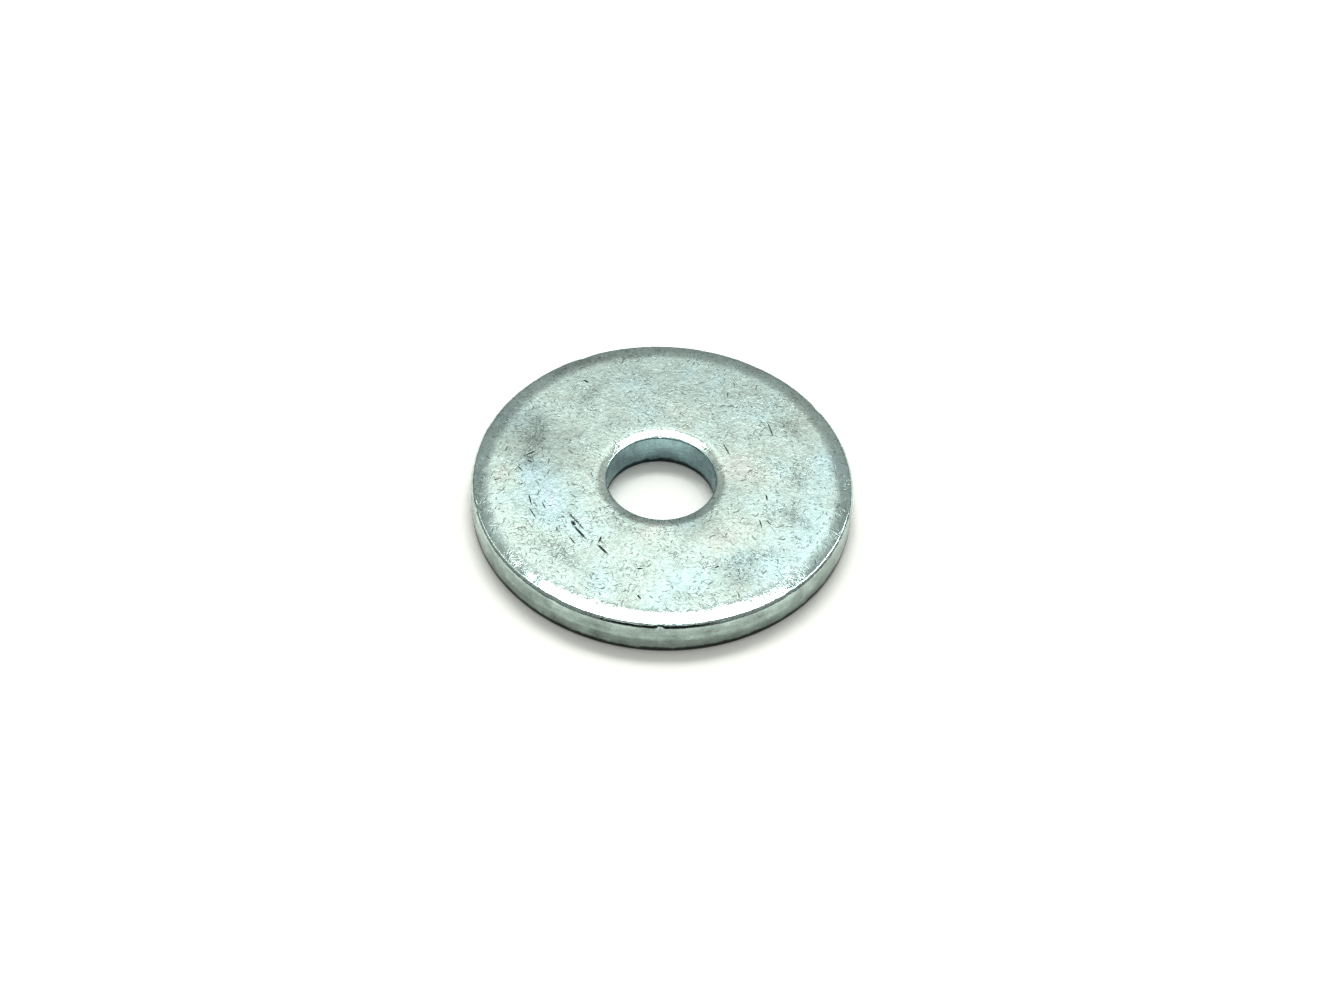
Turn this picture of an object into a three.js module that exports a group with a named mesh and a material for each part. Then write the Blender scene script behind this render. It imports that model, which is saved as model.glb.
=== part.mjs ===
// Heavy flat washer (M8 penny washer) in zinc-plated steel. Millimetres, +Z up.
//
// A washer is one piece of metal, blanked out of strip by one stroke of a press. The side that
// faced the die has its edges drawn down by the blow (the die roll). The other side is cut
// square, and tumbling leaves a small round on it. Here the die-roll side is the top, and the
// washer lies on its square side, centred on the Z axis with its lower bearing face on Z = 0.
//
// The whole part is one profile turned about the Z axis, so it is written as a closed section
// in (radius, height) and given to LatheGeometry.

import * as THREE from "three";

// Driving dimensions.
const OUTER_DIAMETER = 29.7;
const HOLE_DIAMETER = 8.5;
const THICKNESS = 3.0;

// Die roll: how far the edge is drawn down, measured along the face and down the wall.
const RIM_ROLL_WIDTH = 1.7;
const RIM_ROLL_DEPTH = 0.42;
const HOLE_ROLL_WIDTH = 0.7;
const HOLE_ROLL_DEPTH = 0.36;

// The other side has no roll, only the small round that tumbling leaves.
const EDGE_BREAK_RADIUS = 0.3;

// How finely the round shapes are divided.
const STEPS_AROUND = 96;
const STEPS_PER_ROLL = 8;
const STEPS_PER_EDGE_BREAK = 5;

const OUTER_RADIUS = OUTER_DIAMETER / 2;
const HOLE_RADIUS = HOLE_DIAMETER / 2;
const QUARTER_TURN = Math.PI / 2;

// One quarter of an ellipse in the section plane, from one angle to the other, ends included.
function quarterEllipse(centreRadius, centreHeight, halfWidth, halfHeight, from, to, steps) {
  const clockwise = to < from;
  const curve = new THREE.EllipseCurve(
    centreRadius, centreHeight, halfWidth, halfHeight, from, to, clockwise,
  );
  return curve.getPoints(steps);
}

// The washer's section, from the foot of the hole's wall, out under the washer, up the rim,
// back over the top face and down the hole. It closes on its own first point.
function washerSection() {
  const outerFoot = quarterEllipse(
    OUTER_RADIUS - EDGE_BREAK_RADIUS, EDGE_BREAK_RADIUS,
    EDGE_BREAK_RADIUS, EDGE_BREAK_RADIUS,
    -QUARTER_TURN, 0, STEPS_PER_EDGE_BREAK,
  );
  const rimRoll = quarterEllipse(
    OUTER_RADIUS - RIM_ROLL_WIDTH, THICKNESS - RIM_ROLL_DEPTH,
    RIM_ROLL_WIDTH, RIM_ROLL_DEPTH,
    0, QUARTER_TURN, STEPS_PER_ROLL,
  );
  const holeRoll = quarterEllipse(
    HOLE_RADIUS + HOLE_ROLL_WIDTH, THICKNESS - HOLE_ROLL_DEPTH,
    HOLE_ROLL_WIDTH, HOLE_ROLL_DEPTH,
    QUARTER_TURN, 2 * QUARTER_TURN, STEPS_PER_ROLL,
  );
  const holeFoot = quarterEllipse(
    HOLE_RADIUS + EDGE_BREAK_RADIUS, EDGE_BREAK_RADIUS,
    EDGE_BREAK_RADIUS, EDGE_BREAK_RADIUS,
    2 * QUARTER_TURN, 3 * QUARTER_TURN, STEPS_PER_EDGE_BREAK,
  );
  const section = [...outerFoot, ...rimRoll, ...holeRoll, ...holeFoot];
  return [...section, section[0].clone()];
}

// LatheGeometry turns a section about Y, so the ring is then stood on the Z axis.
function turnedRing(section) {
  const ring = new THREE.LatheGeometry(section, STEPS_AROUND);
  ring.rotateX(QUARTER_TURN);
  return ring;
}

const brightZinc = new THREE.MeshStandardMaterial({
  name: "bright_zinc_plate",
  color: new THREE.Color(0.72, 0.76, 0.74),
  roughness: 0.36,
  metalness: 1.0,
});

const washer = new THREE.Mesh(turnedRing(washerSection()), brightZinc);
washer.name = "washer";

const part = new THREE.Group();
part.add(washer);

export default part;
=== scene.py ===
"""A heavy flat washer in bright zinc plate, lying sharp side down on a white table.

A washer is one blanked piece of steel, so there is one piece here, and it stands for the CAD
washer. Its section is drawn as a maker would: a rectangle of strip, with the edges of the die
side drawn down by the press and every corner broken by tumbling. The section is spun into a
ring, and the ring is given the small dents and waviness that a tumbled and plated part has.
"""

import math

import bmesh
import bpy
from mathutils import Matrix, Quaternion, Vector


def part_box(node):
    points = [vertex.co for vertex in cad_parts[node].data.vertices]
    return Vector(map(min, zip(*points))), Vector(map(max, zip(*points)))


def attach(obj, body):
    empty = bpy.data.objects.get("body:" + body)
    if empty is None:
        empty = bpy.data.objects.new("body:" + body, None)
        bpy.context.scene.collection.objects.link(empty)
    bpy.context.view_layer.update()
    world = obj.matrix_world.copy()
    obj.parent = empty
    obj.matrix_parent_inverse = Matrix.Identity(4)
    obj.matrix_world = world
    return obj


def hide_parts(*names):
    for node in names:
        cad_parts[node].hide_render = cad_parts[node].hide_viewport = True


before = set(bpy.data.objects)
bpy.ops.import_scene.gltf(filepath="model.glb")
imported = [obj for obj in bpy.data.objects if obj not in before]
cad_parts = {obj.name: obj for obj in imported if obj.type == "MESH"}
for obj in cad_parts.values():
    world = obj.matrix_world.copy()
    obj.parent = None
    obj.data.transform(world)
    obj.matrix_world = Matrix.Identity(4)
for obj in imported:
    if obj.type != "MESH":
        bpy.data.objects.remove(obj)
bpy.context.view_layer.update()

# Sizes, in metres, taken from the frame where the frame has them.
MM = 0.001
TOP_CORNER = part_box("washer")[1]
RIM_RADIUS = TOP_CORNER.x
THICKNESS = TOP_CORNER.z
HOLE_RADIUS = min(v.co.xy.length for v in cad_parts["washer"].data.vertices)

# The edges that the press draws down on the die side: how wide, how deep, and the radius left
# where the drawn edge turns into the wall. The other side has only a small round.
RIM_ROLL_WIDTH = 1.7 * MM
RIM_ROLL_DEPTH = 0.28 * MM
RIM_CORNER_RADIUS = 0.36 * MM
HOLE_ROLL_WIDTH = 0.95 * MM
HOLE_ROLL_DEPTH = 0.29 * MM
HOLE_CORNER_RADIUS = 0.07 * MM
EDGE_BREAK = 0.11 * MM
# How much of the face beside a corner is cleared for its rounding, in corner radii.
CORNER_ROOM = 1.3
# The hole was punched a little off centre: by how much, in millimetres, and the metal it moved.
PUNCH_SHIFT = (-0.11, -0.09, 0.0)
PUNCH_REACH = 6.0 * MM

# How finely the washer is divided, and what counts as one point and as lying on a face.
STEPS_AROUND = 600
FACE_CUTS = 64
WALL_CUTS = 13
UNDERSIDE_CUTS = 28
CORNER_SEGMENTS = 7
MERGE_DISTANCE = 0.001 * MM
TOUCHING = 0.0001 * MM

# The camera: how far off it stands, its angles in degrees, and how far from the centre it aims.
CAMERA_DISTANCE = 10.60 * RIM_RADIUS
CAMERA_ELEVATION = 48.2
CAMERA_ROLL = 2.82
CAMERA_LENS = 54.1
CAMERA_AIM = (0.0024, 0.0005)

# How bright the room, the panels over the table and the table are.
ROOM_BRIGHTNESS = 1.6
FRONT_OF_ROOM = 0.75
SIDES_OF_ROOM = 0.5
TABLE_FILL = 2.0
PANEL_BRIGHTNESS = 2.8
TABLE_WHITE = (0.84, 0.845, 0.81)
PICTURE_GAMMA = 0.75

# The knocks on the rim's corner: azimuth in degrees, then millimetres below the top, reach, depth.
KNOCKS = (
    (-89.0, 0.50, 0.40, 0.12),
    (-121.0, 0.42, 0.70, 0.06),
    (-48.0, 0.45, 0.60, 0.05),
    (34.0, 0.40, 0.80, 0.06),
    (118.0, 0.42, 1.00, 0.06),
    (-165.0, 0.40, 0.75, 0.06),
)

# The finish. Colours are linear; places and sizes on the washer are in millimetres.
WALL_COLOUR = (0.41, 0.485, 0.45, 1.0)
HOLE_COLOUR = (0.37, 0.50, 0.51, 1.0)
RIM_COLOUR = (0.52, 0.63, 0.60, 1.0)
FILM_COLOURS = (
    (0.20, (0.625, 0.655, 0.615)),
    (0.38, (0.585, 0.67, 0.615)),
    (0.54, (0.56, 0.675, 0.63)),
    (0.68, (0.54, 0.68, 0.67)),
    (0.85, (0.575, 0.66, 0.725)),
)
# Places where the film is thicker (towards violet) or thinner: x, y, reach, change.
FILM_PATCHES = (
    (-9.4, -1.6, 4.4, 0.26),
    (-8.2, -4.2, 3.6, 0.24),
    (-4.3, -10.9, 3.0, 0.20),
    (0.5, -11.8, 3.5, 0.06),
    (7.2, -9.0, 2.8, 0.10),
    (6.6, 0.8, 3.0, -0.26),
    (1.6, 6.4, 4.0, -0.20),
    (3.6, -6.8, 2.8, -0.20),
    (5.4, -4.9, 3.4, -0.24),
    (-0.5, -5.4, 2.4, -0.22),
    (-12.3, -1.0, 1.8, -0.20),
)
# Places where the plate is duller: x, y, reach, loss of brightness.
DULL_PATCHES = (
    (-9.2, 2.4, 5.0, 0.22),
    (-11.6, 4.5, 4.0, 0.18),
    (5.8, -10.0, 2.4, 0.22),
    (2.8, -4.6, 3.2, 0.24),
    (5.4, -1.4, 2.8, 0.14),
    (-2.2, -4.8, 2.4, 0.16),
    (11.3, 5.6, 3.2, 0.05),
)
# The fine scuffs: the way each family of them runs, in degrees, and where its pattern starts.
SCUFF_TURNS = ((24.0, 1.7), (71.0, 4.3), (118.0, 7.9), (152.0, 2.6), (-8.0, 9.4))
# The deep scratches: start x and y, end x and y, width.
SCRATCHES = (
    (-7.15, -4.15, -5.65, -6.05, 0.12),
    (-6.7, -5.2, -6.5, -5.5, 0.34),
    (-6.6, -5.55, -5.5, -6.9, 0.24),
    (-6.9, -6.6, -6.3, -7.4, 0.09),
    (-4.4, -6.5, -4.6, -7.2, 0.15),
    (-4.7, -7.3, -3.8, -8.3, 0.24),
    (-1.6, -9.5, -1.2, -9.5, 0.20),
    (-1.5, -12.0, -1.2, -12.4, 0.16),
    (8.1, 6.3, 8.6, 4.6, 0.11),
    (4.6, 3.7, 5.2, 2.4, 0.11),
    (8.0, -1.5, 8.1, -2.1, 0.14),
    (-6.7, 10.0, -6.4, 9.8, 0.24),
    (-10.8, 1.4, -10.0, 2.0, 0.17),
    (-10.5, 0.9, -10.3, 0.8, 0.18),
    (-11.3, 0.3, -10.8, -0.3, 0.11),
    (-11.0, -1.7, -10.6, -1.4, 0.12),
    (-10.2, -2.6, -9.9, -3.7, 0.12),
    (-10.1, -3.9, -9.4, -5.1, 0.11),
    (-9.1, -3.4, -8.8, -4.0, 0.10),
    (7.5, -4.1, 7.7, -5.0, 0.10),
    (8.0, -4.1, 8.4, -4.6, 0.11),
    (4.2, -9.1, 4.5, -8.9, 0.16),
)
# Stains, in the same way as the scratches.
STAINS = (
    (-9.1, 10.6, -8.1, 11.4, 0.9),
    (-7.3, 12.0, -6.0, 12.4, 0.8),
    (-5.6, 12.7, -4.4, 13.0, 0.6),
    (-3.4, 12.9, -2.7, 13.0, 0.6),
    (-2.4, 13.1, -1.4, 13.3, 0.6),
    (-1.1, 13.9, -0.7, 13.9, 0.4),
    (-10.2, 5.6, -9.8, 4.6, 1.2),
    (-10.1, 3.6, -10.1, 2.6, 1.4),
    (-10.5, 1.3, -10.2, 0.6, 1.2),
    (-8.5, -7.5, -6.2, -9.4, 1.4),
    (9.3, 6.4, 10.1, 5.4, 1.2),
    (10.4, 0.5, 10.6, -0.4, 1.0),
    (9.4, -3.3, 11.0, -4.4, 1.2),
    (5.0, -8.6, 8.4, -7.4, 1.2),
    (-6.6, 7.6, -5.4, 9.4, 1.0),
)


# ---------------------------------------------------------------------------------------------
# Camera, table and light


def make_camera():
    """A camera with a longish lens, looking down at the washer along +Y."""
    elevation = math.radians(CAMERA_ELEVATION)
    back = Vector((0.0, -math.cos(elevation), math.sin(elevation)))
    up = Vector((0.0, math.sin(elevation), math.cos(elevation)))
    right = Vector((1.0, 0.0, 0.0))
    forward = right * CAMERA_AIM[0] + up * CAMERA_AIM[1] - back
    data = bpy.data.cameras.new("camera")
    data.lens = CAMERA_LENS
    data.sensor_width = 36.0
    data.clip_start = 0.01
    data.clip_end = 20.0
    camera = bpy.data.objects.new("camera", data)
    camera.location = back * CAMERA_DISTANCE
    camera.rotation_mode = "QUATERNION"
    level = forward.to_track_quat("-Z", "Y")
    camera.rotation_quaternion = level @ Quaternion((0.0, 0.0, 1.0), math.radians(CAMERA_ROLL))
    bpy.context.scene.collection.objects.link(camera)
    bpy.context.scene.camera = camera


def towards(azimuth, elevation):
    """The direction of a place in the studio. Azimuth 0 is behind the camera, 90 on its right."""
    around = math.radians(azimuth)
    above = math.radians(elevation)
    level = math.cos(above)
    return Vector((math.sin(around) * level, -math.cos(around) * level, math.sin(above)))


def make_light(name, place, width, height, radiance, turn=0.0, lights_table=False):
    """A soft light that faces the washer. It lights the table, or else shows in the metal."""
    data = bpy.data.lights.new(name, "AREA")
    data.shape = "RECTANGLE"
    data.size = width
    data.size_y = height
    data.energy = radiance * math.pi * width * height
    light = bpy.data.objects.new(name, data)
    light.location = place
    light.rotation_mode = "QUATERNION"
    facing = (-Vector(place)).to_track_quat("-Z", "Y")
    light.rotation_quaternion = facing @ Quaternion((0.0, 0.0, 1.0), math.radians(turn))
    light.visible_diffuse = lights_table
    light.visible_glossy = not lights_table
    bpy.context.scene.collection.objects.link(light)


def make_dark_card():
    """The dark shape behind the lens that a shiny part always shows: it is only seen reflected."""
    distance = 0.22
    place = towards(0.0, 27.0) * distance
    bpy.ops.mesh.primitive_plane_add(size=1.0)
    card = bpy.context.object
    card.name = "dark_card"
    card.scale = (0.20, 0.15, 1.0)
    card.rotation_mode = "QUATERNION"
    card.rotation_quaternion = (-place).to_track_quat("Z", "Y")
    card.location = place
    card.visible_camera = False
    card.data.materials.append(plain_material("card_black", (0.03, 0.03, 0.03)))


def plain_material(name, colour):
    material = bpy.data.materials.new(name)
    material.use_nodes = True
    shader = material.node_tree.nodes["Principled BSDF"]
    shader.inputs["Base Color"].default_value = (*colour, 1.0)
    shader.inputs["Roughness"].default_value = 0.9
    shader.inputs["Specular IOR Level"].default_value = 0.0
    return material


def make_table():
    bpy.ops.mesh.primitive_plane_add(size=6.0)
    table = bpy.context.object
    table.name = "table"
    table.data.materials.append(plain_material("table_white", TABLE_WHITE))


class Value:
    """An output of a shader node. Arithmetic on it adds the Math nodes that work it out."""

    def __init__(self, shader, socket):
        self.shader = shader
        self.socket = socket

    def math(self, operation, *others):
        settings = {"operation": operation}
        sockets = {place: value for place, value in enumerate((self, *others))}
        return self.shader.add("ShaderNodeMath", settings, sockets)

    def __add__(self, other):
        return self.math("ADD", other)

    __radd__ = __add__

    def __mul__(self, other):
        return self.math("MULTIPLY", other)

    __rmul__ = __mul__

    def __sub__(self, other):
        return self.math("SUBTRACT", other)

    def __rsub__(self, other):
        return self.shader.add("ShaderNodeMath", {"operation": "SUBTRACT"}, {0: other, 1: self})


class Shader:
    """Builds the node tree of one material or world."""

    def __init__(self, owner):
        owner.use_nodes = True
        self.tree = owner.node_tree
        self.tree.nodes.clear()

    def add(self, kind, settings=None, sockets=None, output=0):
        """Adds a node: its settings first, then the values or links of its sockets."""
        node = self.tree.nodes.new(kind)
        for name, value in (settings or {}).items():
            if name == "stops":
                self.set_stops(node.color_ramp, value)
            else:
                setattr(node, name, value)
        for name, value in (sockets or {}).items():
            if isinstance(value, Value):
                self.tree.links.new(value.socket, node.inputs[name])
            else:
                node.inputs[name].default_value = value
        return Value(self, node.outputs[output]) if node.outputs else None

    def set_stops(self, ramp, stops):
        while len(ramp.elements) < len(stops):
            ramp.elements.new(0.5)
        for element, (position, colour) in zip(ramp.elements, stops):
            element.position = position
            element.color = (*colour, 1.0)

    def between(self, value, low, high):
        """0 where the value is under low, 1 where it is over high, and a smooth rise between."""
        settings = {"interpolation_type": "SMOOTHSTEP"}
        sockets = {"Value": value, "From Min": low, "From Max": high}
        return self.add("ShaderNodeMapRange", settings, sockets)

    def mix(self, factor, first, second):
        settings = {"data_type": "RGBA"}
        return self.add("ShaderNodeMix", settings, {0: factor, 6: first, 7: second}, output=2)

    def scaled(self, vector, factor):
        """A colour or a vector times a number."""
        settings = {"operation": "SCALE"}
        return self.add("ShaderNodeVectorMath", settings, {0: vector, "Scale": factor})

    def squeezed(self, place, scale):
        """A place in a space that is stretched or mirrored along its axes."""
        return self.add("ShaderNodeMapping", None, {"Vector": place, "Scale": scale})

    def millimetres(self):
        """The place on the washer, in millimetres from the centre of its lower face."""
        place = self.add("ShaderNodeTexCoord", output="Object")
        return self.scaled(place, 1.0 / MM)

    def length(self, vector):
        settings = {"operation": "LENGTH"}
        return self.add("ShaderNodeVectorMath", settings, {0: vector}, output="Value")

    def radius(self, place):
        """How far a place is from the Z axis."""
        flat = self.add("ShaderNodeVectorMath", {"operation": "MULTIPLY"}, {0: place, 1: (1, 1, 0)})
        return self.length(flat)

    def distance(self, place, spot):
        settings = {"operation": "DISTANCE"}
        return self.add("ShaderNodeVectorMath", settings, {0: place, 1: spot}, output="Value")

    def sum(self, first, second):
        return self.add("ShaderNodeVectorMath", {"operation": "ADD"}, {0: first, 1: second})

    def difference(self, first, second):
        return self.add("ShaderNodeVectorMath", {"operation": "SUBTRACT"}, {0: first, 1: second})

    def noise(self, place, scale, detail=2.0, roughness=0.5, distortion=0.0):
        sockets = {
            "Vector": place,
            "Scale": scale,
            "Detail": detail,
            "Roughness": roughness,
            "Distortion": distortion,
        }
        return self.add("ShaderNodeTexNoise", None, sockets)

    def part(self, vector, axis):
        return self.add("ShaderNodeSeparateXYZ", None, {"Vector": vector}, output=axis)

    def dashes(self, place, size, length, width, share):
        """Short curved strokes, one to a cell, each turned its own way, in a share of the cells."""
        cells = self.scaled(place, 1.0 / size)
        settings = {"voronoi_dimensions": "2D"}
        sockets = {"Vector": cells, "Scale": 1.0}
        centre = self.add("ShaderNodeTexVoronoi", settings, sockets, output="Position")
        chance = self.add("ShaderNodeTexVoronoi", settings, sockets, output="Color")
        local = self.difference(cells, centre)
        turn = self.part(chance, "X") * math.tau
        sockets = {"Vector": local, "Angle": turn}
        turned = self.add("ShaderNodeVectorRotate", {"rotation_type": "Z_AXIS"}, sockets)
        along = self.part(turned, "X").math("ABSOLUTE")
        bend = (self.part(chance, "Z") - 0.5) * 3.0
        across = (self.part(turned, "Y") + along * along * bend).math("ABSOLUTE")
        thin = 1.0 - self.between(across, 0.2 * width / size, width / size)
        short = 1.0 - self.between(along, 0.5 * length / size, length / size)
        return thin * short * self.between(self.part(chance, "Y"), 1.0 - share, 1.01 - share)

    def noise_colour(self, place, scale):
        """Three noises at once, from -0.5 to 0.5, to push a place about."""
        cloud = self.add("ShaderNodeTexNoise", None, {"Vector": place, "Scale": scale}, output=1)
        return self.difference(cloud, (0.5, 0.5, 0.5))

    def from_hole(self, place):
        """The distance from the hole's wall, in millimetres."""
        return self.radius(self.difference(place, PUNCH_SHIFT)) - HOLE_RADIUS / MM

    def face_mask(self, radius, from_hole):
        """1 on the two flat faces and their rolled edges, 0 on the walls."""
        past_hole = self.between(from_hole, 0.02, 0.2)
        short_of_rim = 1.0 - self.between(radius, RIM_RADIUS / MM - 0.2, RIM_RADIUS / MM - 0.02)
        return past_hole * short_of_rim

    def film_tint(self, place, clouds):
        """The passivate's tints: the film's thickness runs from warm grey to green to violet."""
        film = self.noise(place, 0.13, detail=2.0, roughness=0.55) * 0.6 + 0.2
        film = film + 0.25 * (clouds - 0.5)
        wandering = self.scaled(self.noise_colour(place, 0.6), 2.2)
        ragged = self.sum(place, wandering)
        for x, y, reach, shift in FILM_PATCHES:
            spot = self.distance(ragged, (x, y, THICKNESS / MM))
            film = film + shift * (1.0 - self.between(spot, 0.0, reach))
        return self.add("ShaderNodeValToRGB", {"stops": FILM_COLOURS}, {"Fac": film})

    def dullness(self, place):
        """The share of brightness that is lost where the plate is duller."""
        loss = 0.0
        for x, y, reach, share in DULL_PATCHES:
            spot = self.distance(place, (x, y, THICKNESS / MM))
            loss = loss + share * (1.0 - self.between(spot, 0.0, reach))
        return loss

    def scuffs(self, place):
        """Short fine marks in a few directions, in loose clumps."""
        marks = 0.0
        for turn, offset in SCUFF_TURNS:
            sockets = {
                "Vector": place,
                "Location": (offset, offset, 0.0),
                "Rotation": (0.0, 0.0, math.radians(turn)),
                "Scale": (1.1, 0.13, 1.0),
            }
            along = self.add("ShaderNodeMapping", {"vector_type": "TEXTURE"}, sockets)
            marks = marks + self.between(self.noise(along, 1.0, detail=1.0), 0.63, 0.72)
        clumps = self.between(self.noise(place, 0.45, detail=2.0), 0.42, 0.62)
        return marks * clumps

    def painted_foot_shade(self, place):
        """Painted shade: darker near the table, raggedly up to about half a millimetre up the
        walls, and all over the underside.
        """
        height = self.part(place, "Z")
        ragged = self.noise(place, 1.2, detail=2.0) * 0.5
        return 1.0 - self.between(height - ragged, 0.05, 0.34)

    def pits(self, place):
        """Small dark pits, a few to each square of the face."""
        cells = {"Vector": place, "Scale": 1.1}
        near_pit = self.add("ShaderNodeTexVoronoi", None, cells, output="Distance")
        chance = self.add("ShaderNodeTexVoronoi", None, cells, output="Color")
        edge = self.noise(place, 5.0) * 0.16
        here = self.between(self.part(chance, "X"), 0.45, 0.5)
        return (1.0 - self.between(near_pit + edge, 0.10, 0.17)) * here

    def strokes(self, place, table, core, reach):
        """Straight strokes, 1 as far out as core and 0 from reach on, both in half widths."""
        marks = 0.0
        for start_x, start_y, end_x, end_y, width in table:
            length = math.hypot(end_x - start_x, end_y - start_y)
            turn = math.atan2(end_y - start_y, end_x - start_x)
            sockets = {
                "Vector": place,
                "Location": ((start_x + end_x) / 2, (start_y + end_y) / 2, THICKNESS / MM),
                "Rotation": (0.0, 0.0, turn),
                "Scale": (reach * (length + width) / 2, reach * width / 2, reach),
            }
            along = self.add("ShaderNodeMapping", {"vector_type": "TEXTURE"}, sockets)
            settings = {"gradient_type": "SPHERICAL"}
            inside = self.add("ShaderNodeTexGradient", settings, {"Vector": along}, output="Fac")
            marks = marks + self.between(inside, 0.0, 1.0 - core / reach)
        return marks.math("MINIMUM", 1.0)

    def scratches(self, place):
        """The few deep scratches, their edges a little rough."""
        rough = self.scaled(self.noise_colour(place, 6.0), 0.10)
        return self.strokes(self.sum(place, rough), SCRATCHES, 0.45, 1.0)

    def stains(self, place):
        """Dark ragged stains where the passivate pooled."""
        ragged = self.noise(place, 4.2, detail=3.0, roughness=0.8, distortion=1.5)
        spread = self.strokes(place, STAINS, 0.2, 1.7)
        return spread * self.between(ragged, 0.47, 0.56)


def grey(level):
    return (level, level, level)


def make_sky():
    """The room round the table: dark at the skyline, brighter with height and towards the back."""
    world = bpy.data.worlds.new("studio")
    bpy.context.scene.world = world
    shader = Shader(world)
    direction = shader.add("ShaderNodeTexCoord")
    toward_back = shader.part(direction, "Y")
    height = shader.part(direction, "Z")
    stops = (
        (0.0, grey(0.24)),
        (0.26, grey(0.28)),
        (0.40, grey(0.33)),
        (0.60, grey(0.38)),
        (0.68, grey(0.47)),
        (0.72, grey(0.68)),
        (0.77, grey(0.90)),
        (0.81, grey(0.88)),
        (0.86, grey(0.52)),
        (0.90, grey(0.46)),
    )
    by_height = shader.add("ShaderNodeValToRGB", {"stops": stops}, {"Fac": height})
    to_side = shader.part(direction, "X").math("ABSOLUTE")
    strength = FRONT_OF_ROOM + (1.0 - FRONT_OF_ROOM) * shader.between(toward_back, -0.5, 0.5)
    falls_off = shader.between(to_side, 0.16, 0.42) * shader.between(height, 0.60, 0.72)
    strength = strength * (1.0 - SIDES_OF_ROOM * falls_off)
    on_table = shader.add("ShaderNodeLightPath", output="Is Diffuse Ray")
    strength = strength * (1.0 + (TABLE_FILL - 1.0) * on_table) * ROOM_BRIGHTNESS
    reflected = shader.add("ShaderNodeBackground", None, {"Color": by_height, "Strength": strength})
    seen = shader.add("ShaderNodeBackground", None, {"Color": (1.0, 1.0, 1.0, 1.0)})
    camera_ray = shader.add("ShaderNodeLightPath", output="Is Camera Ray")
    surface = shader.add("ShaderNodeMixShader", None, {0: camera_ray, 1: reflected, 2: seen})
    shader.add("ShaderNodeOutputWorld", None, {"Surface": surface})


def light_studio():
    """The room, the overhead panels and edge strips that show in the metal, the table's light."""
    make_sky()
    make_light("ceiling_panel", (0.0, 0.135, 0.80), 0.56, 0.40, PANEL_BRIGHTNESS)
    make_light("front_panel", (0.0, 0.06, 0.80), 0.96, 0.24, PANEL_BRIGHTNESS)
    make_light("side_strip", towards(108.0, 41.0) * 0.7, 0.48, 0.07, 8.0, turn=-53.0)
    make_light("far_strip", towards(-108.0, 41.0) * 0.7, 0.40, 0.05, 2.2, turn=53.0)
    make_light("table_light", towards(180.0, 64.0) * 0.8, 0.43, 0.16, 13.5, lights_table=True)


# ---------------------------------------------------------------------------------------------
# The washer's shape


def start_editing(piece):
    bpy.ops.object.select_all(action="DESELECT")
    bpy.context.view_layer.objects.active = piece
    piece.select_set(True)
    bpy.ops.object.mode_set(mode="EDIT")
    bpy.ops.mesh.select_mode(type="VERT")
    bpy.ops.mesh.select_all(action="DESELECT")


def stop_editing():
    bpy.ops.object.mode_set(mode="OBJECT")


def pick_vertices(piece, wanted):
    """Selects the vertices whose place passes the test, and the edges and faces between them."""
    bpy.ops.mesh.select_all(action="DESELECT")
    shape = bmesh.from_edit_mesh(piece.data)
    for vertex in shape.verts:
        vertex.select = wanted(vertex.co)
    shape.select_flush(True)
    bmesh.update_edit_mesh(piece.data)


def pick_edges(piece, wanted):
    """Selects the edges whose middle passes the test."""
    bpy.ops.mesh.select_all(action="DESELECT")
    bpy.ops.mesh.select_mode(type="EDGE")
    shape = bmesh.from_edit_mesh(piece.data)
    for edge in shape.edges:
        middle = (edge.verts[0].co + edge.verts[1].co) / 2
        edge.select = wanted(middle)
    bmesh.update_edit_mesh(piece.data)


def near(place, target, reach):
    return (place - target).length < reach


def outline_of_strip():
    """The section before pressing: an upright rectangle from the hole's wall to the rim's."""
    width = RIM_RADIUS - HOLE_RADIUS
    middle = (HOLE_RADIUS + width / 2, 0.0, THICKNESS / 2)
    bpy.ops.mesh.primitive_plane_add(size=1.0, location=middle, rotation=(math.pi / 2, 0.0, 0.0))
    section = bpy.context.object
    section.name = "zinc_washer"
    section.scale = (width, THICKNESS, 1.0)
    bpy.ops.object.transform_apply(location=True, rotation=True, scale=True)
    start_editing(section)
    bpy.ops.mesh.select_all(action="SELECT")
    bpy.ops.mesh.delete(type="ONLY_FACE")
    return section


def draw_down_edge(section, corner, width, depth):
    """Pushes a corner of the section down, and the face beside it less and less with distance."""
    pick_vertices(section, lambda place: near(place, corner, MERGE_DISTANCE))
    bpy.ops.transform.translate(
        value=(0.0, 0.0, -depth),
        use_proportional_edit=True,
        use_proportional_connected=True,
        proportional_edit_falloff="SHARP",
        proportional_size=width,
    )
    return corner - Vector((0.0, 0.0, depth))


def clear_beside_corner(section, corner, reach):
    """Takes out the vertices close beside a corner, so that its rounding has room."""
    pick_vertices(section, lambda place: MERGE_DISTANCE < (place - corner).length < reach)
    bpy.ops.mesh.dissolve_verts()


def round_corner(section, corner, radius):
    pick_vertices(section, lambda place: near(place, corner, MERGE_DISTANCE))
    bpy.ops.mesh.bevel(
        offset=radius,
        offset_type="OFFSET",
        segments=CORNER_SEGMENTS,
        profile=0.5,
        affect="VERTICES",
        clamp_overlap=False,
    )


def cut_edge(section, wanted, cuts):
    pick_edges(section, wanted)
    bpy.ops.mesh.subdivide(number_cuts=cuts)
    bpy.ops.mesh.select_mode(type="VERT")


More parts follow.
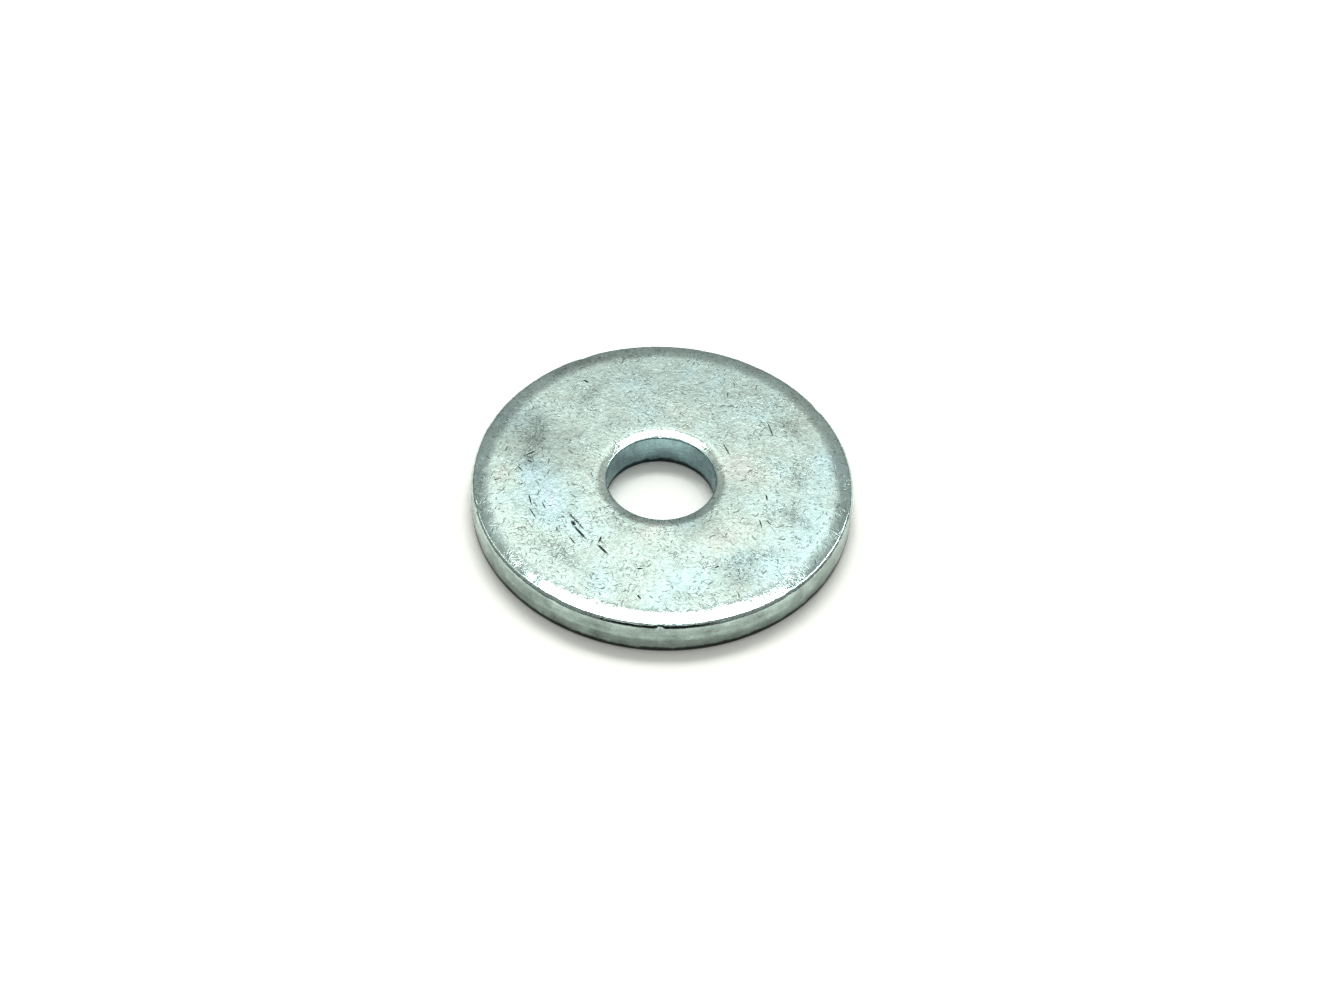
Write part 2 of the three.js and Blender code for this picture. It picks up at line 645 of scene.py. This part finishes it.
def press_section():
    """The washer's section after blanking, piercing and tumbling."""
    section = outline_of_strip()
    hole_top = Vector((HOLE_RADIUS, 0.0, THICKNESS))
    rim_top = Vector((RIM_RADIUS, 0.0, THICKNESS))
    hole_foot = Vector((HOLE_RADIUS, 0.0, 0.0))
    rim_foot = Vector((RIM_RADIUS, 0.0, 0.0))
    round_corner(section, hole_foot, EDGE_BREAK)
    round_corner(section, rim_foot, EDGE_BREAK)
    cut_edge(section, lambda middle: middle.z > THICKNESS - TOUCHING, FACE_CUTS)
    rim_top = draw_down_edge(section, rim_top, RIM_ROLL_WIDTH, RIM_ROLL_DEPTH)
    hole_top = draw_down_edge(section, hole_top, HOLE_ROLL_WIDTH, HOLE_ROLL_DEPTH)
    clear_beside_corner(section, rim_top, RIM_CORNER_RADIUS * CORNER_ROOM)
    clear_beside_corner(section, hole_top, HOLE_CORNER_RADIUS * CORNER_ROOM)
    round_corner(section, rim_top, RIM_CORNER_RADIUS)
    round_corner(section, hole_top, HOLE_CORNER_RADIUS)
    cut_edge(section, lambda middle: middle.z < TOUCHING, UNDERSIDE_CUTS)
    half_way = THICKNESS / 2
    cut_edge(section, lambda middle: abs(middle.z - half_way) < THICKNESS / 5, WALL_CUTS)
    return section


def spin_section(section):
    """Turns the section a full circle about the Z axis into a closed ring."""
    stop_editing()
    bpy.ops.object.modifier_add(type="SCREW")
    turn = section.modifiers[-1]
    turn.axis = "Z"
    turn.angle = 2 * math.pi
    turn.steps = STEPS_AROUND
    turn.render_steps = STEPS_AROUND
    turn.use_merge_vertices = True
    turn.merge_threshold = MERGE_DISTANCE
    turn.use_smooth_shade = True
    bpy.ops.object.modifier_apply(modifier=turn.name)
    start_editing(section)
    bpy.ops.mesh.select_all(action="SELECT")
    bpy.ops.mesh.remove_doubles(threshold=MERGE_DISTANCE)
    bpy.ops.mesh.normals_make_consistent(inside=False)
    stop_editing()


def punch_off_centre(washer):
    """Moves the hole a little to one side, and the metal round it less and less with distance."""
    start_editing(washer)
    pick_vertices(washer, lambda place: place.xy.length < HOLE_RADIUS + TOUCHING)
    bpy.ops.transform.translate(
        value=Vector(PUNCH_SHIFT) * MM,
        use_proportional_edit=True,
        use_proportional_connected=True,
        proportional_edit_falloff="SMOOTH",
        proportional_size=PUNCH_REACH,
    )
    stop_editing()


def rumple(washer, name, size, depth, group=""):
    """Gives the surface a soft waviness, only ever inwards: lumps of one size and one depth."""
    lumps = bpy.data.textures.new(name, "CLOUDS")
    lumps.noise_scale = size
    lumps.noise_depth = 1
    bpy.ops.object.modifier_add(type="DISPLACE")
    waviness = washer.modifiers[-1]
    waviness.texture = lumps
    waviness.texture_coords = "LOCAL"
    waviness.mid_level = 1.0
    waviness.strength = depth
    waviness.vertex_group = group
    bpy.ops.object.modifier_apply(modifier=waviness.name)


def mark_rim(washer):
    """Names the vertices of the drawn-down rim, so that it can be rumpled more than the face."""
    rim = washer.vertex_groups.new(name="rim")
    inner = RIM_RADIUS - RIM_ROLL_WIDTH
    for vertex in washer.data.vertices:
        outward = (vertex.co.xy.length - inner) / RIM_ROLL_WIDTH
        if outward > 0.0 and vertex.co.z > THICKNESS / 2:
            rim.add([vertex.index], min(1.0, outward * 2.0), "REPLACE")


def dent_corner(washer, azimuth, below_top, reach, depth):
    """A nick on the rim's upper corner, made by a knock in the tumbling barrel."""
    around = math.radians(azimuth)
    outward = Vector((math.cos(around), math.sin(around), 0.0))
    spot = outward * RIM_RADIUS + Vector((0.0, 0.0, THICKNESS - below_top))
    nearest = min(washer.data.vertices, key=lambda vertex: (vertex.co - spot).length)
    target = nearest.co.copy()
    start_editing(washer)
    pick_vertices(washer, lambda place: near(place, target, MERGE_DISTANCE))
    push = (outward * -0.8 + Vector((0.0, 0.0, -0.6))) * depth
    bpy.ops.transform.translate(
        value=push,
        use_proportional_edit=True,
        use_proportional_connected=True,
        proportional_edit_falloff="SMOOTH",
        proportional_size=reach,
    )
    stop_editing()


def make_washer():
    washer = press_section()
    spin_section(washer)
    punch_off_centre(washer)
    mark_rim(washer)
    rumple(washer, "plating_lumps", 1.3 * MM, 0.010 * MM)
    rumple(washer, "rim_waves", 2.2 * MM, 0.030 * MM, "rim")
    rumple(washer, "rim_ripples", 0.7 * MM, 0.022 * MM, "rim")
    for azimuth, below_top, reach, depth in KNOCKS:
        dent_corner(washer, azimuth, below_top * MM, reach * MM, depth * MM)
    washer.vertex_groups.clear()
    washer.data.materials.append(bright_zinc())
    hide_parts("washer")
    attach(washer, "root")
    return washer


# ---------------------------------------------------------------------------------------------
# The washer's finish


def bright_zinc():
    """Bright zinc with a clear passivate: a fine grain, thin-film tints, scuffs and pits."""
    material = bpy.data.materials.new("bright_zinc_plate")
    shader = Shader(material)
    place = shader.millimetres()
    radius = shader.radius(place)
    from_hole = shader.from_hole(place)
    face = shader.face_mask(radius, from_hole)
    wall = 1.0 - face
    rim = shader.between(radius, 12.9, 14.3)
    burnish = face * (1.0 - shader.between(from_hole, 0.3, 0.8))

    grain = shader.noise(place, 3.4, detail=2.0, roughness=0.6, distortion=0.8)
    fine = shader.noise(place, 8.0, detail=1.0, roughness=0.5)
    clouds = shader.noise(place, 0.55, detail=3.0, roughness=0.6)
    streaks = shader.noise(shader.squeezed(place, (0.6, 0.6, 7.0)), 1.0, detail=3.0, roughness=0.6)
    clumps = shader.between(shader.noise(place, 0.5, detail=2.0), 0.38, 0.60)
    scuffs = shader.scuffs(place) * face
    dashes = shader.dashes(place, 0.50, 0.18, 0.055, 0.60) * (0.35 + 0.65 * clumps)
    dashes = dashes + shader.dashes(place, 1.15, 0.34, 0.07, 0.24)
    dashes = dashes * face * (1.0 - 0.2 * rim)
    # Painted highlight: bright specks on the face, each with a small bump under it.
    painted_glints = shader.dashes(shader.squeezed(place, (-1.0, 1.0, 1.0)), 0.62, 0.20, 0.055, 0.5) * face
    pits = shader.pits(place)
    scratches = shader.scratches(place)
    stains = shader.stains(place)
    # Painted shade low on the walls and over the whole underside.
    painted_foot_shade = shader.painted_foot_shade(place)

    colour = shader.film_tint(place, clouds)
    in_hole = 1.0 - shader.between(from_hole, 0.05, 0.3)
    wall_colour = shader.mix(in_hole, WALL_COLOUR, HOLE_COLOUR)
    colour = shader.mix(wall, colour, wall_colour)
    colour = shader.mix(rim * face * 0.6, colour, RIM_COLOUR)
    light = 1.12 + (grain - 0.5) * (0.75 - 0.4 * rim) + (fine - 0.5) * 0.5
    light = light + (clouds - 0.5) * (0.4 + 1.2 * wall) + (streaks - 0.5) * 0.6 * wall
    # The glints add painted highlight specks to the colour.
    light = light + 0.34 * painted_glints + 0.30 * burnish
    light = light * (1.0 - 0.25 * scuffs) * (1.0 - 0.55 * pits) * (1.0 - 0.9 * scratches)
    light = light * (1.0 - 0.50 * stains) * (1.0 - 0.5 * dashes)
    # The foot term is painted shade near the table; it takes the colour down to a fifth.
    light = light * (1.0 - 0.8 * painted_foot_shade) * (1.0 - shader.dullness(place) * face)
    colour = shader.scaled(colour, light)

    roughness = 0.10 + 0.08 * (clouds - 0.5) + 0.10 * scuffs + 0.16 * wall + 0.25 * stains
    roughness = roughness - 0.03 * rim * face
    calm = shader.between(radius, 10.5, 12.6) * shader.between(shader.part(place, "Y"), -9.0, -4.0)
    height = 0.012 * grain * (1.0 - 0.35 * rim) * (1.0 - 0.5 * calm)
    height = height + (0.002 + 0.005 * rim * (1.0 - calm)) * fine + 0.010 * clouds
    height = height - 0.005 * scuffs - 0.012 * scratches - 0.012 * pits - 0.005 * dashes
    height = height + 0.003 * painted_glints + 0.004 * streaks * wall
    bump = shader.add("ShaderNodeBump", None, {"Distance": MM, "Height": height})
    surface = shader.add(
        "ShaderNodeBsdfPrincipled",
        None,
        {"Base Color": colour, "Metallic": 1.0, "Roughness": roughness, "Normal": bump},
    )
    shader.add("ShaderNodeOutputMaterial", None, {"Surface": surface})
    return material


make_camera()
make_table()
make_dark_card()
light_studio()
washer = make_washer()
bpy.context.scene.view_settings.view_transform = "Standard"
bpy.context.scene.view_settings.gamma = PICTURE_GAMMA
